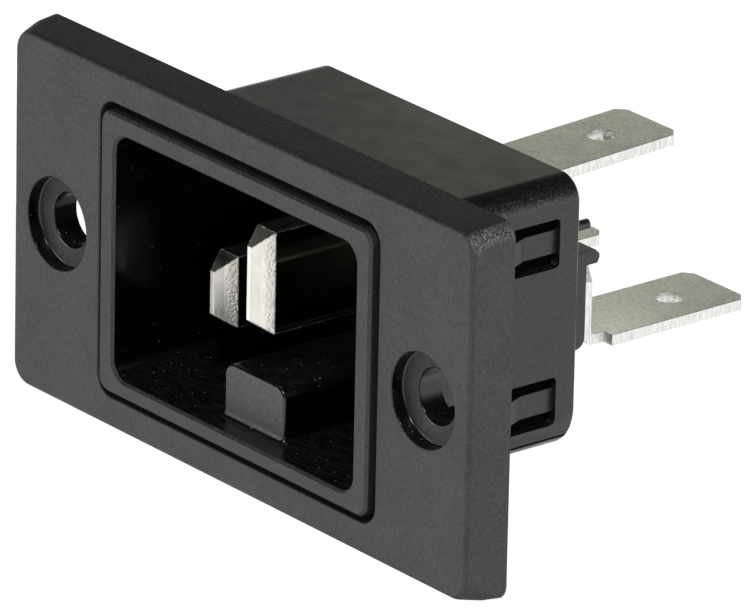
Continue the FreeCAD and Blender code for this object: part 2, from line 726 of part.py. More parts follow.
# ---------------------------------------------------------------------------
# Folded terminals: leg, bend and quick-connect tab out of one strip of sheet.
def terminal(word, middle_x, hole_x, leg_end, tab_face, angle, tail_rise):
    body = new_body("%s_terminal" % word)
    upward = leg_end.value > tab_face.value
    slope = tangent(angle)
    skew = S["tab_thickness"] / cosine(angle)
    neck_end = tab_shoulder + S["tab_thickness"] / 2
    profile = new_sketch(body, "%s_fold_profile" % word, "YZ_Plane", middle_x)
    if upward:
        # The tab's top face starts the list, and the leg rises from it.
        outer = tab_face - skew
        inner = tab_face
    else:
        outer = tab_face
        inner = tab_face - skew
    add_polygon(profile, [
        (leg_seat, leg_end),
        (leg_seat, outer),
        (neck_end, outer + (neck_end - leg_seat) * slope),
        (neck_end, inner + (neck_end - leg_seat) * slope),
        (leg_rear, inner + S["tab_thickness"] * slope),
        (leg_rear, leg_end),
    ])
    doc.recompute()
    pad(body, "%s_fold" % word, profile, S["leg_width"], middle=True)
    outer_edge = edges_where(body, lambda p: near(p.y, leg_seat) and near(p.z, outer))
    inner_z = inner + S["tab_thickness"] * slope
    dress(body, "Fillet", "%s_outer_bend" % word, outer_edge,
          S["bend_inner_radius"] + S["tab_thickness"])
    inner_edge = edges_where(body, lambda p: near(p.y, leg_rear) and near(p.z, inner_z))
    dress(body, "Fillet", "%s_inner_bend" % word, inner_edge, S["bend_inner_radius"])

    # Tab outline on the plane of its lower face, tilted by the tab's angle about the bend.
    outline = new_sketch(body, "%s_tab_outline" % word, "XY_Plane", NONE)
    base_z = tab_face - skew
    tilt = FreeCAD.Rotation(FreeCAD.Vector(1, 0, 0), angle.value)
    outline.AttachmentOffset = FreeCAD.Placement(
        FreeCAD.Vector(0, leg_seat.value, base_z.value), tilt
    )
    outline.setExpression("AttachmentOffset.Base.y", leg_seat.text)
    outline.setExpression("AttachmentOffset.Base.z", base_z.text)
    outline.setExpression("AttachmentOffset.Rotation.Angle", angle.text)
    half = S["tab_width"] / 2
    start_y = (tab_shoulder - leg_seat) / cosine(angle)
    end_y = (tab_end - leg_seat) / cosine(angle)
    add_polygon(outline, [
        (middle_x - half, start_y),
        (middle_x + half, start_y),
        (middle_x + half, end_y - S["tab_chamfer_length"]),
        (middle_x + half - S["tab_chamfer_width"], end_y),
        (middle_x - half + S["tab_chamfer_width"], end_y),
        (middle_x - half, end_y - S["tab_chamfer_length"]),
    ])
    add_circle(outline, middle_x, end_y - S["tab_hole_setback"], S["tab_hole_diameter"] / 2)
    doc.recompute()
    pad(body, "%s_tab" % word, outline, S["tab_thickness"])
    reach = max(v.Point.y for v in body.Shape.Vertexes)
    ends = [e for e in body.Shape.Edges
            if all(v.Point.y > reach - 0.2 for v in e.Vertexes)
            and abs(e.Vertexes[0].Point.x - e.Vertexes[-1].Point.x) > 1]
    dress(body, "Chamfer", "%s_lead_in" % word, ends, S["tab_lead_in"])

    # Window for the blade's tail, and the clipped corners at the leg's free end.
    tail_hole = new_sketch(body, "%s_tail_hole" % word, "XZ_Plane", -leg_seat)
    hole_half = S["tail_width"] / 2 + S["blade_clearance"]
    hole_tall = S["tail_height"] / 2 + S["blade_clearance"]
    add_polygon(tail_hole, [
        (hole_x - hole_half, tail_rise - hole_tall),
        (hole_x + hole_half, tail_rise - hole_tall),
        (hole_x + hole_half, tail_rise + hole_tall),
        (hole_x - hole_half, tail_rise + hole_tall),
    ])
    doc.recompute()
    pocket(body, "%s_tail_window" % word, tail_hole, S["tab_thickness"])
    clip = new_sketch(body, "%s_leg_corners" % word, "XZ_Plane", -leg_seat)
    end_sign = 1 if upward else -1
    for side in (-1, 1):
        edge_x = middle_x + S["leg_width"] / 2 * side
        add_polygon(clip, [
            (edge_x, leg_end - S["leg_corner_length"] * end_sign),
            (edge_x + as_size(1) * side, leg_end - S["leg_corner_length"] * end_sign),
            (edge_x + as_size(1) * side, leg_end + as_size(1) * end_sign),
            (edge_x - S["leg_corner_width"] * side, leg_end + as_size(1) * end_sign),
            (edge_x - S["leg_corner_width"] * side, leg_end),
        ])
    doc.recompute()
    pocket(body, "%s_clipped_leg" % word, clip, S["tab_thickness"])
    return body


side_leg_end = S["hook_underside"] - S["hook_gap"]
earth_leg_end = S["earth_tab_rise"] - S["earth_leg_length"]
flat = as_size(0)
terminals = [
    terminal("left", -S["side_terminal_spacing"], -S["blade_spacing"], side_leg_end,
             -S["side_tab_drop"], flat, S["side_tail_rise"]),
    terminal("earth", NONE, NONE, earth_leg_end, S["earth_tab_rise"],
             S["earth_tab_angle"], S["earth_tail_rise"]),
    terminal("right", S["side_terminal_spacing"], S["blade_spacing"], side_leg_end,
             -S["side_tab_drop"], flat, S["side_tail_rise"]),
]

# ---------------------------------------------------------------------------
# Every feature must have built, and every piece is one valid solid.
doc.recompute()
for item in doc.Objects:
    if "Invalid" in item.State or "Error" in item.State:
        raise ValueError("%s did not build" % item.Label)
pieces = [frame, shell] + blades + terminals
os.makedirs("parts", exist_ok=True)
for piece in pieces:
    shape = piece.Shape
    if shape.isNull() or not shape.isValid() or len(shape.Solids) != 1:
        raise ValueError("%s is not one valid solid" % piece.Label)
for piece in pieces:
    box_of = piece.Shape.optimalBoundingBox(False, False)
    print("%-16s %9.2f mm3  X %.2f %.2f  Y %.2f %.2f  Z %.2f %.2f" % (
        piece.Label, piece.Shape.Volume, box_of.XMin, box_of.XMax,
        box_of.YMin, box_of.YMax, box_of.ZMin, box_of.ZMax))
    piece.Shape.exportStep("parts/%s.step" % piece.Label)
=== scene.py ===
# %% [markdown]
# # A panel inlet socket, dressed for the studio
# The real object is a screw-on frame that carries a moulded socket: a black shrouded cavity
# with three flat nickel-plated blades in front and three folded quick-connect tabs behind.
# Its eight solids come from CAD with the right shape and size. They could simply be given
# materials, but a CAD solid has knife-sharp edges that nothing real has. So each one gets a
# finished copy: the same shape, with real corners and the skin that its maker gave it.

import json
import math

import bmesh
import bpy
from mathutils import Matrix, Vector


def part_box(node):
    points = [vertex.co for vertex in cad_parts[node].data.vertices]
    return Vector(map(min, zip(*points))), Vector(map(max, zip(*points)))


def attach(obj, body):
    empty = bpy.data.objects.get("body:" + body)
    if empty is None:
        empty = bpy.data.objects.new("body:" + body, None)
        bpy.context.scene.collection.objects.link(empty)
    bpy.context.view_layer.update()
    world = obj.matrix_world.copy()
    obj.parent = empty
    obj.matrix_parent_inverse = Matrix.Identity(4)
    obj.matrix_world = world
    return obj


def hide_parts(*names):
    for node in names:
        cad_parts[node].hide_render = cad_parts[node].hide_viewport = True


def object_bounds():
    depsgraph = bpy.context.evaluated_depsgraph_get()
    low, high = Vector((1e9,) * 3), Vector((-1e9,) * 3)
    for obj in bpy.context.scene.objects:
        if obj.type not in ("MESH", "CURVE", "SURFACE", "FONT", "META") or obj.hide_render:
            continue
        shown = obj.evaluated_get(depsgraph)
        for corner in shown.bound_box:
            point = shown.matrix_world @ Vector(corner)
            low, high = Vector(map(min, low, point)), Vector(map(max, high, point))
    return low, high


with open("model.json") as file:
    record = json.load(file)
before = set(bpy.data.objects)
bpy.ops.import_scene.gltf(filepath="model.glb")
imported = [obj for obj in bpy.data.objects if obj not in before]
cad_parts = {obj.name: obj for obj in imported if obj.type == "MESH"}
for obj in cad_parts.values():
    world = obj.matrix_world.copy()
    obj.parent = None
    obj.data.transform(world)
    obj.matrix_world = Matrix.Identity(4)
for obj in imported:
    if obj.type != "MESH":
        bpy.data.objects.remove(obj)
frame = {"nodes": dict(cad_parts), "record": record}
cad_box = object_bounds()
MM = 0.001
scene = bpy.context.scene
print("solids:", sorted(frame["nodes"]))
print("box in mm:", [[round(v / MM, 2) for v in corner] for corner in cad_box])

# %% [markdown]
# ## The camera
# Small parts are shot from far away through a long lens, so that parallel edges stay nearly
# parallel. A Track To constraint could aim the camera, but it couldn't lean it over. So the
# view is built from three directions: one from the part back to the camera, one level across
# the view, and one square to both. The last two are then turned together by a degree.

# %% The directions of the view
azimuth = math.radians(50.937)
elevation = math.radians(21.376)
lean = math.radians(1.2287)

right = Vector((math.cos(azimuth), math.sin(azimuth), 0))
back = Vector((math.sin(azimuth) * math.cos(elevation),
               -math.cos(azimuth) * math.cos(elevation), math.sin(elevation)))
up = back.cross(right)
across = right * math.cos(lean) + up * math.sin(lean)
upright = up * math.cos(lean) - right * math.sin(lean)
print("towards the camera:", [round(v, 3) for v in back])

# %% Place the camera
aim = Vector((5.858, 4.305, 0.410)) * MM
distance = 693.355 * MM

camera_data = bpy.data.cameras.new("studio_camera")
camera_data.lens = 492.46
camera_data.sensor_width = 36
camera_data.clip_start = 0.01
camera = bpy.data.objects.new("studio_camera", camera_data)
scene.collection.objects.link(camera)
turn = Matrix((across, upright, back)).transposed().to_4x4()
camera.matrix_world = Matrix.Translation(aim + back * distance) @ turn
scene.camera = camera
scene.view_settings.view_transform = "Standard"
print("camera at mm:", [round(v / MM, 1) for v in camera.location])

# %% [markdown]
# ## A node helper and honest colours
# A material is a tree of nodes. Adding each node by hand takes three or four lines, so one
# small function adds a node of any kind, sets it up and links it. Colours are written as the
# sRGB hex values that a designer would pick, and one function turns them to linear light,
# because Blender's sockets expect that.

# %% Colours
def linear(hex_code):
    parts = [int(hex_code[i:i + 2], 16) / 255 for i in (1, 3, 5)]
    curved = [p / 12.92 if p <= 0.04045 else ((p + 0.055) / 1.055) ** 2.4 for p in parts]
    return (*curved, 1.0)


print("mid grey in linear light:", round(linear("#808080")[0], 3))


# %% Nodes and materials
def add(tree, kind, inputs=None, **settings):
    node = tree.nodes.new(kind)
    for name, value in settings.items():
        setattr(node, name, value)
    for name, value in (inputs or {}).items():
        if isinstance(value, bpy.types.NodeSocket):
            tree.links.new(value, node.inputs[name])
        else:
            node.inputs[name].default_value = value
    return node


def new_material(name):
    material = bpy.data.materials.new(name)
    material.use_nodes = True
    tree = material.node_tree
    tree.nodes.clear()
    return material, tree


# %% [markdown]
# ## The white sweep
# The socket hangs free, as if its panel held it, over a sheet of white paper. A lit white
# floor would do for the eye, but black plastic and nickel are seen almost only by what they
# mirror. So the paper is a plain diffuse white that keeps the object's shadow, and a glow
# is added to it that only the camera and mirroring surfaces see. Under the object that glow
# carries a painted shade, so mirroring surfaces see the paper darker there.

# %% The sheet of paper
drop = 30 * MM
half_width = 3.0

floor_mesh = bpy.data.meshes.new("studio_floor")
floor_bm = bmesh.new()
bmesh.ops.create_grid(floor_bm, x_segments=1, y_segments=1, size=half_width)
bmesh.ops.translate(floor_bm, verts=floor_bm.verts, vec=(0, 0, cad_box[0][2] - drop))
floor_bm.to_mesh(floor_mesh)
floor_bm.free()
floor = bpy.data.objects.new("studio_floor", floor_mesh)
scene.collection.objects.link(floor)
print("paper in m:", [round(v, 2) for v in floor.dimensions])
print("below the object in mm:", round(drop / MM, 1))

# %% What the paper sends back
# Painted shade: the glow that mirroring surfaces see is dimmed in a soft disc under the
# object.
shade_middle = (4 * MM, 12 * MM, 0)
shade_radius, open_radius = 26 * MM, 45 * MM
shade_share, open_share = 0.105, 0.88

white, tree = new_material("white_paper_sweep")
paper = add(tree, "ShaderNodeBsdfDiffuse", {"Color": linear("#f2f2f2")})
glow = add(tree, "ShaderNodeEmission", {"Color": (1, 1, 1, 1), "Strength": 0.84})
dark = add(tree, "ShaderNodeEmission", {"Strength": 0.0})
path = add(tree, "ShaderNodeLightPath")
spot = add(tree, "ShaderNodeTexCoord").outputs["Object"]
flat = add(tree, "ShaderNodeVectorMath", {0: spot, 1: (1, 1, 0)}, operation="MULTIPLY")
away = add(tree, "ShaderNodeVectorMath", {0: flat.outputs[0], 1: shade_middle},
           operation="DISTANCE")
painted_shade_fade = add(tree, "ShaderNodeMapRange",
               {"Value": away.outputs["Value"], "From Min": shade_radius,
                "From Max": open_radius, "To Min": shade_share, "To Max": open_share},
               interpolation_type="SMOOTHSTEP")
print("the shade fades out", round(open_radius / MM), "mm from its middle")

# %% Who sees the glow
# Mirroring rays see the glow through the painted shade, and the camera sees it whole.
bounced = add(tree, "ShaderNodeMath", {0: path.outputs["Is Glossy Ray"],
                                       1: path.outputs["Is Transmission Ray"]},
              operation="MAXIMUM")
glow_under_painted_shade = add(tree, "ShaderNodeMath", {0: bounced.outputs[0], 1: painted_shade_fade.outputs["Result"]},
             operation="MULTIPLY")
seen = add(tree, "ShaderNodeMath", {0: glow_under_painted_shade.outputs[0],
                                    1: path.outputs["Is Camera Ray"]}, operation="MAXIMUM")
lit = add(tree, "ShaderNodeMixShader", {"Fac": seen.outputs[0], 1: dark.outputs[0],
                                        2: glow.outputs[0]})
both = add(tree, "ShaderNodeAddShader", {0: paper.outputs[0], 1: lit.outputs[0]})
add(tree, "ShaderNodeOutputMaterial", {"Surface": both.outputs[0]})
floor_mesh.materials.append(white)
print(white.name, "has", len(tree.nodes), "nodes")

# %% [markdown]
# ## The air
# One grey world would light every side alike and leave a black part flat. Four walls and a
# ceiling could be built to shape its reflections, but a world that fades with height does
# the same with one colour ramp. It is white up to the horizon and nearly black overhead, so
# upright faces turn grey, the top stays dark, and sheet metal shows a grey face with white
# edges. Halfway up it is a little warm, as in a room.

# %% A world that fades with height
# Each step is the sine of the height above the horizon, and the level of light there.
low_haze = (0.12, 0.85)
warm_steps = ((0.24, 0.52), (0.36, 0.22), (0.42, 0.1), (0.48, 0.045), (0.6, 0.025),
              (0.7, 0.012))
overhead = 0.02
warm = (1, 0.97, 0.86)

world = bpy.data.worlds.new("studio_air")
world.use_nodes = True
scene.world = world
tree = world.node_tree
tree.nodes.clear()
sky = add(tree, "ShaderNodeTexCoord")
height = add(tree, "ShaderNodeSeparateXYZ", {0: sky.outputs["Generated"]})
fade = add(tree, "ShaderNodeValToRGB", {0: height.outputs["Z"]})
ramp = fade.color_ramp
ramp.elements[0].position = 0.0
ramp.elements[0].color = (1, 1, 1, 1)
ramp.elements[1].position = 1.0
ramp.elements[1].color = (overhead, overhead, overhead, 1)
ramp.elements.new(low_haze[0]).color = (low_haze[1], low_haze[1], low_haze[1], 1)
for place, level in warm_steps:
    ramp.elements.new(place).color = (*(level * part for part in warm), 1)
air = add(tree, "ShaderNodeBackground", {"Color": fade.outputs[0], "Strength": 1.0})
add(tree, "ShaderNodeOutputWorld", {"Surface": air.outputs[0]})
print("steps in the fade:", len(ramp.elements))


# %% [markdown]
# ## The lamps
# The world alone would leave no direction to the light. Sun lamps would draw hard shadows,
# so softboxes are used, as in a studio: rectangles of light, here placed in metres and
# turned to the point that the camera looks at. A small key lamp stands high in front, and
# large weak ones fill both sides.

# %% Softboxes
def softbox(name, place, size, power):
    lamp = bpy.data.lights.new(name, "AREA")
    lamp.shape = "RECTANGLE"
    lamp.size = size[0]
    lamp.size_y = size[1]
    lamp.energy = power
    holder = bpy.data.objects.new(name, lamp)
    holder.location = Vector(place)
    direction = aim - holder.location
    holder.rotation_euler = direction.to_track_quat("-Z", "Y").to_euler()
    scene.collection.objects.link(holder)
    print(name, round(direction.length, 3), "m off,", power, "W")
    return holder


softbox("key_softbox", (0.45, -0.4, 0.8), (0.16, 0.16), 2.6)
softbox("left_fill_softbox", (-0.55, -0.95, 0.25), (0.5, 0.3), 2.5)
softbox("right_fill_softbox", (0.9, 0.25, 0.08), (0.4, 0.3), 1.5)

# %% [markdown]
# ## A small reflector behind the tabs
# The tabs lie level, so their upper faces mirror the air behind them, as high up there as the
# camera is in front. That air is dark, and brighter air would wash out the black plastic
# too. A studio holds a small warm card behind the tabs instead, and this lamp is that card: it
# stands where the tabs mirror it into the camera, close enough to light little else.

# %% The warm card
card_distance = 40 * MM
card_size = (28 * MM, 24 * MM)
card_power = 0.0004

tab_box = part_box("earth_terminal")
tab_middle = Vector([(a + b) / 2 for a, b in zip(*tab_box)])
mirrored = Vector((-back.x, -back.y, back.z))
card = softbox("tab_reflector", tab_middle + mirrored * card_distance, card_size,
               card_power)
card.rotation_euler = (-mirrored).to_track_quat("-Z", "Y").to_euler()
card.data.color = linear("#fffff0")[:3]
card.visible_camera = False
print("card at mm:", [round(v / MM, 1) for v in card.location])


# %% [markdown]
# ## Merged, softened copies
# A CAD solid arrives as loose triangles with knife-sharp edges. A mould leaves a tiny radius
# there and a press a burr, and that thin line of light is what makes a black part readable.
# A Bevel modifier picks edges by their angle alone. That would catch the facets of curved
# walls, or miss the shallow steps between broad faces. So the copy's doubles are merged, its
# flat faces joined, and its real corners picked by their angle and by how broad their two
# faces are.

# %% Which edges are real corners
sharp_turn = 38
slight_turn = 8
broad_face = 0.6 * MM


def width_of(face):
    return face.calc_area() / max(e.calc_length() for e in face.edges)


def is_corner(edge):
    turn_by = math.degrees(edge.calc_face_angle())
    broad = min(width_of(face) for face in edge.link_faces) > broad_face
    return turn_by > sharp_turn or (broad and turn_by > slight_turn)


print("corners turn by", sharp_turn, "degrees, or", slight_turn, "between broad faces")

# %% Merge, flatten and round a copy
same_point = 0.0005 * MM
flat_within = math.radians(0.4)


def merged(node_name):
    bm = bmesh.new()
    bm.from_mesh(frame["nodes"][node_name].data)
    bmesh.ops.remove_doubles(bm, verts=bm.verts, dist=same_point)
    return bm


def flatten(bm):
    bmesh.ops.dissolve_limit(bm, angle_limit=flat_within, verts=bm.verts, edges=bm.edges)


def round_edges(bm, edges, width, segments=2):
    bmesh.ops.bevel(bm, geom=edges, offset=width, segments=segments, profile=0.5,
                    affect="EDGES", clamp_overlap=True, material=-1)
    print("rounded", len(edges), "edges by", round(width / MM, 3), "mm")


def soften(bm, width):
    round_edges(bm, [e for e in bm.edges if e.is_manifold and is_corner(e)], width)


print("points closer than", round(same_point / MM, 4), "mm become one")


# %% [markdown]
# ## From a softened copy to a finished piece
# Each piece is shaded smooth, so that its roundings read as round. Smooth shading alone
# would also bend the light across its flat faces. Sharp edge marks could stop that, but they
# would bring the hard corners back, so a Weighted Normal modifier lets each large face keep
# its own direction. The piece then takes its CAD solid's place, body and material slot.

# %% Finish one piece
def finish_piece(bm, piece_name, node_name, finishes):
    mesh = bpy.data.meshes.new(piece_name)
    for face in bm.faces:
        face.smooth = True
    bm.to_mesh(mesh)
    open_edges = sum(1 for e in bm.edges if not e.is_manifold)
    bm.free()
    for finish in finishes:
        mesh.materials.append(finish)
    piece = bpy.data.objects.new(piece_name, mesh)
    scene.collection.objects.link(piece)
    even = piece.modifiers.new("even_shading", "WEIGHTED_NORMAL")
    even.weight = 80
    even.keep_sharp = False
    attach(piece, "root")
    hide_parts(node_name)
    print(piece_name, len(mesh.polygons), "faces, open edges:", open_edges)


# %% [markdown]
# ## Scuffs and a painted highlight on the plate's corners
# Handling has rubbed the plate's upper right and lower left corners, and the key lamp glints
# on the rounded corners. Both are painted: the crests of the grain turn paler there, partly
# wear and partly a painted highlight. The wear could be painted by hand, but here it follows
# from the shape. It lies at the plate's two ends, and where the surface looks right and up at
# once, or left and down, which only those rounded corners do. A fine noise breaks it into
# crests.

# %% Where corners are scuffed and carry a painted highlight
scuff_highlight_start, scuff_highlight_full = 23.9 * MM, 24.3 * MM
scuff_highlight_crest = 0.13 * MM


def corner_scuffs_and_painted_highlight(tree, where):
    place = add(tree, "ShaderNodeSeparateXYZ", {0: where})
    sideways = add(tree, "ShaderNodeMath", {0: place.outputs["X"]}, operation="ABSOLUTE")
    at_end = add(tree, "ShaderNodeMapRange", {"Value": sideways.outputs[0],
                                              "From Min": scuff_highlight_start,
                                              "From Max": scuff_highlight_full})
    facing = add(tree, "ShaderNodeTexCoord").outputs["Normal"]
    tilt = add(tree, "ShaderNodeSeparateXYZ", {0: facing})
    both_ways = add(tree, "ShaderNodeMath", {0: tilt.outputs["X"], 1: tilt.outputs["Z"]},
                    operation="MULTIPLY")
    on_corner = add(tree, "ShaderNodeMapRange", {"Value": both_ways.outputs[0],
                                                 "From Min": 0.1, "From Max": 0.35})
    crests = add(tree, "ShaderNodeTexNoise", {"Vector": where, "Scale": 1 / scuff_highlight_crest,
                                              "Detail": 2.0, "Roughness": 0.6})
    pale = add(tree, "ShaderNodeMapRange", {"Value": crests.outputs["Fac"],
                                            "From Min": 0.42, "From Max": 0.62})
    worn_and_lit = add(tree, "ShaderNodeMath", {0: on_corner.outputs["Result"],
                                        1: at_end.outputs["Result"]}, operation="MULTIPLY")
    return add(tree, "ShaderNodeMath", {0: worn_and_lit.outputs[0], 1: pale.outputs["Result"]},
               operation="MULTIPLY").outputs[0]


print("scuffs begin", round(scuff_highlight_start / MM, 1), "mm from the plate's middle")


# %% [markdown]
# ## Spark-eroded PBT
# Inlets like this are moulded in glass-filled PBT, a tough plastic that is coloured black
# through and through. The mounting frame's mould was spark-eroded, which leaves a fine even
# grain of craters that scatters what it mirrors, so the face reads as dark grey. An image of
# grain would show seams and stretch round corners. Noise on the object's own coordinates does
# neither, and it is scaled in millimetres. One function makes the grain in three tones: the
# plate's own, a paler copy that is painted light, and a darker copy that is painted shade.

# %% Grained PBT
pbt_ior = 1.58
crater = 0.22 * MM
grained_patch = 4.0 * MM


def grained_pbt(name, valley, crest):
    material, tree = new_material(name)
    where = add(tree, "ShaderNodeTexCoord").outputs["Object"]
    fine = add(tree, "ShaderNodeTexNoise", {"Vector": where, "Scale": 1 / crater,
                                            "Detail": 2.0, "Roughness": 0.6})
    wide = add(tree, "ShaderNodeTexNoise", {"Vector": where,
                                            "Scale": 1 / grained_patch, "Detail": 3.0,
                                            "Roughness": 0.6})
    bump = add(tree, "ShaderNodeBump", {"Height": fine.outputs["Fac"], "Strength": 1.0,
                                        "Distance": 0.035 * MM})
    rough = add(tree, "ShaderNodeMapRange", {"Value": wide.outputs["Fac"], "From Min": 0.3,
                                             "From Max": 0.7, "To Min": 0.46,
                                             "To Max": 0.56})
    share = add(tree, "ShaderNodeMapRange", {"Value": fine.outputs["Fac"],
                                             "From Min": 0.35, "From Max": 0.7})
    tone = add(tree, "ShaderNodeMix", {0: share.outputs["Result"], 6: linear(valley),
                                       7: linear(crest)}, data_type="RGBA")
    # Pale crests on the plate's corners: scuffs and a painted highlight.
    tone = add(tree, "ShaderNodeMix", {0: corner_scuffs_and_painted_highlight(tree, where), 6: tone.outputs[2],
                                       7: linear("#8a8a87")}, data_type="RGBA")
    skin = add(tree, "ShaderNodeBsdfPrincipled",
               {"Base Color": tone.outputs[2], "Roughness": rough.outputs["Result"],
                "IOR": pbt_ior, "Normal": bump.outputs[0]})
    add(tree, "ShaderNodeOutputMaterial", {"Surface": skin.outputs[0]})
    print(material.name, "has", len(tree.nodes), "nodes")
    return material


grained = grained_pbt("moulded_pbt_grained", "#1e1e1e", "#3e3e3e")
# The key rib's front gets a paler copy of the grain: painted light on its front face.
key_front_painted_light = grained_pbt("moulded_pbt_painted_light_key_front", "#454545", "#5e5e5e")
# The step in each screw hole gets a darker copy of the grain: painted shade in the
# counterbore.
counterbore_painted_shade = grained_pbt("moulded_pbt_painted_shade_ring", "#060606", "#161616")

# %% [markdown]
# ## Satin PBT
# The outside of the body comes from stoned steel, smoother than the frame's mould: a satin
# black with a soft shine that breaks up into a fine grain. One roughness number would give
# the shine but not the grain, so a noise drives bump and colour together, and a wider one
# lets the roughness wander. The long rounded edges get pale specks where they turn into the
# sides, partly scuffs and partly painted glints: a band of normals marks them, and sparse
# noise leaves only some crests pale.

# %% Satin PBT for the outside of the body
stoned_grain = 0.2 * MM
satin_patch = 2.5 * MM

satin, tree = new_material("moulded_pbt_satin")
where = add(tree, "ShaderNodeTexCoord").outputs["Object"]
fine = add(tree, "ShaderNodeTexNoise", {"Vector": where, "Scale": 1 / stoned_grain,
                                        "Detail": 2.0, "Roughness": 0.6})
wide = add(tree, "ShaderNodeTexNoise", {"Vector": where, "Scale": 1 / satin_patch,
                                        "Detail": 4.0, "Roughness": 0.6})
bump = add(tree, "ShaderNodeBump", {"Height": fine.outputs["Fac"], "Strength": 0.6,
                                    "Distance": 0.02 * MM})
rough = add(tree, "ShaderNodeMapRange", {"Value": wide.outputs["Fac"], "From Min": 0.3,
                                         "From Max": 0.7, "To Min": 0.28, "To Max": 0.42})
share = add(tree, "ShaderNodeMapRange", {"Value": fine.outputs["Fac"], "From Min": 0.35,
                                         "From Max": 0.7})
tone = add(tree, "ShaderNodeMix", {0: share.outputs["Result"], 6: linear("#0c0c0c"),
                                   7: linear("#303030")}, data_type="RGBA")
print("grain and patches in mm:", round(stoned_grain / MM, 2), round(satin_patch / MM, 2))

# %% Scuffs and painted glints along the body's rounded edges
glint_scuff_size = 0.14 * MM

facing = add(tree, "ShaderNodeTexCoord").outputs["Normal"]
tilt = add(tree, "ShaderNodeSeparateXYZ", {0: facing})
turning = add(tree, "ShaderNodeMapRange", {"Value": tilt.outputs["Z"], "From Min": 0.12,
                                           "From Max": 0.35})
leaving = add(tree, "ShaderNodeMapRange", {"Value": tilt.outputs["Z"], "From Min": 0.5,
                                           "From Max": 0.8, "To Min": 1.0, "To Max": 0.0})
band = add(tree, "ShaderNodeMath", {0: turning.outputs["Result"],
                                    1: leaving.outputs["Result"]}, operation="MULTIPLY")
sparse = add(tree, "ShaderNodeTexNoise", {"Vector": where, "Scale": 1 / glint_scuff_size,
                                          "Detail": 1.0, "Roughness": 0.5})
crest = add(tree, "ShaderNodeMapRange", {"Value": sparse.outputs["Fac"], "From Min": 0.6,
                                         "From Max": 0.7})
glint_and_scuff = add(tree, "ShaderNodeMath", {0: band.outputs[0], 1: crest.outputs["Result"]},
            operation="MULTIPLY")
# Pale crests on the upward-turning band: scuffs and painted glints.
tone = add(tree, "ShaderNodeMix", {0: glint_and_scuff.outputs[0], 6: tone.outputs[2],
                                   7: linear("#767672")}, data_type="RGBA")
skin = add(tree, "ShaderNodeBsdfPrincipled",
           {"Base Color": tone.outputs[2], "Roughness": rough.outputs["Result"],
            "IOR": pbt_ior, "Normal": bump.outputs[0]})
add(tree, "ShaderNodeOutputMaterial", {"Surface": skin.outputs[0]})
print(satin.name, "has", len(tree.nodes), "nodes")

# %% [markdown]
# ## Polished PBT with dust
# The cavity's core was polished, so that the connector slides in: its walls go nearly black
# with clear reflections, and they show every speck of dust. Dust could be scattered as tiny
# meshes, but a thousand of them would need more faces than the socket. A Voronoi texture
# gives each cell one speck of a random width instead, and a third of the cells none. A thin
# streaked film lies on what faces upwards.

# %% Specks of dust
dust_cell = 0.4 * MM
widest_speck = 0.16
empty_share = 0.35

polished, tree = new_material("moulded_pbt_polished")
where = add(tree, "ShaderNodeTexCoord").outputs["Object"]
cells = add(tree, "ShaderNodeTexVoronoi", {"Vector": where, "Scale": 1 / dust_cell})
lot = add(tree, "ShaderNodeSeparateColor", {0: cells.outputs["Color"]})
width = add(tree, "ShaderNodeMapRange", {"Value": lot.outputs[0],
                                         "From Min": empty_share, "From Max": 1.0,
                                         "To Min": 0.0, "To Max": widest_speck})
speck = add(tree, "ShaderNodeMath", {0: cells.outputs["Distance"],
                                     1: width.outputs["Result"]}, operation="LESS_THAN")
print("widest speck in mm:", round(2 * widest_speck * dust_cell / MM, 2))

# %% A film of dust
film_streak = 0.16 * MM
# Streaks run across the cavity, so the pattern is stretched that way.
across_stretch = (0.12, 1, 1)

facing = add(tree, "ShaderNodeTexCoord").outputs["Normal"]
tilt = add(tree, "ShaderNodeSeparateXYZ", {0: facing})
upwards = add(tree, "ShaderNodeMapRange", {"Value": tilt.outputs["Z"], "From Min": 0.3,
                                           "From Max": 0.9})
drawn = add(tree, "ShaderNodeMapping", {"Vector": where, "Scale": across_stretch})
streaks = add(tree, "ShaderNodeTexNoise", {"Vector": drawn.outputs[0],
                                           "Scale": 1 / film_streak, "Detail": 3.0,
                                           "Roughness": 0.7})
thick = add(tree, "ShaderNodeMapRange", {"Value": streaks.outputs["Fac"], "From Min": 0.4,
                                         "From Max": 0.75})
film = add(tree, "ShaderNodeMath", {0: upwards.outputs["Result"],
                                    1: thick.outputs["Result"]}, operation="MULTIPLY")
print("streaks in mm:", round(film_streak / MM, 2), "wide")

# %% Polished PBT for the cavity
polished_patch = 3.0 * MM

tone = add(tree, "ShaderNodeMix", {0: film.outputs[0], 6: linear("#080808"),
                                   7: linear("#333130")}, data_type="RGBA")
tone = add(tree, "ShaderNodeMix", {0: speck.outputs[0], 6: tone.outputs[2],
                                   7: linear("#9a968a")}, data_type="RGBA")
wide = add(tree, "ShaderNodeTexNoise", {"Vector": where, "Scale": 1 / polished_patch,
                                        "Detail": 4.0, "Roughness": 0.6})
rough = add(tree, "ShaderNodeMapRange", {"Value": wide.outputs["Fac"], "From Min": 0.3,
                                         "From Max": 0.7, "To Min": 0.14, "To Max": 0.26})
skin = add(tree, "ShaderNodeBsdfPrincipled",
           {"Base Color": tone.outputs[2], "Roughness": rough.outputs["Result"],
            "IOR": pbt_ior})
add(tree, "ShaderNodeOutputMaterial", {"Surface": skin.outputs[0]})
print(polished.name, "has", len(tree.nodes), "nodes")

# %% [markdown]
# ## The slots round the tongues
# Each sprung tongue stands in a window in the body's side, with a narrow slot left above and
# below it. The slot ends at the cavity's thin wall, and hardly any light gets in there or out
# again. The satin finish would still catch the side lamps and look like a lit wall. So the
# slot's floor gets painted shade: a rough black with almost no shine, and no pattern, because
# none could be seen there.

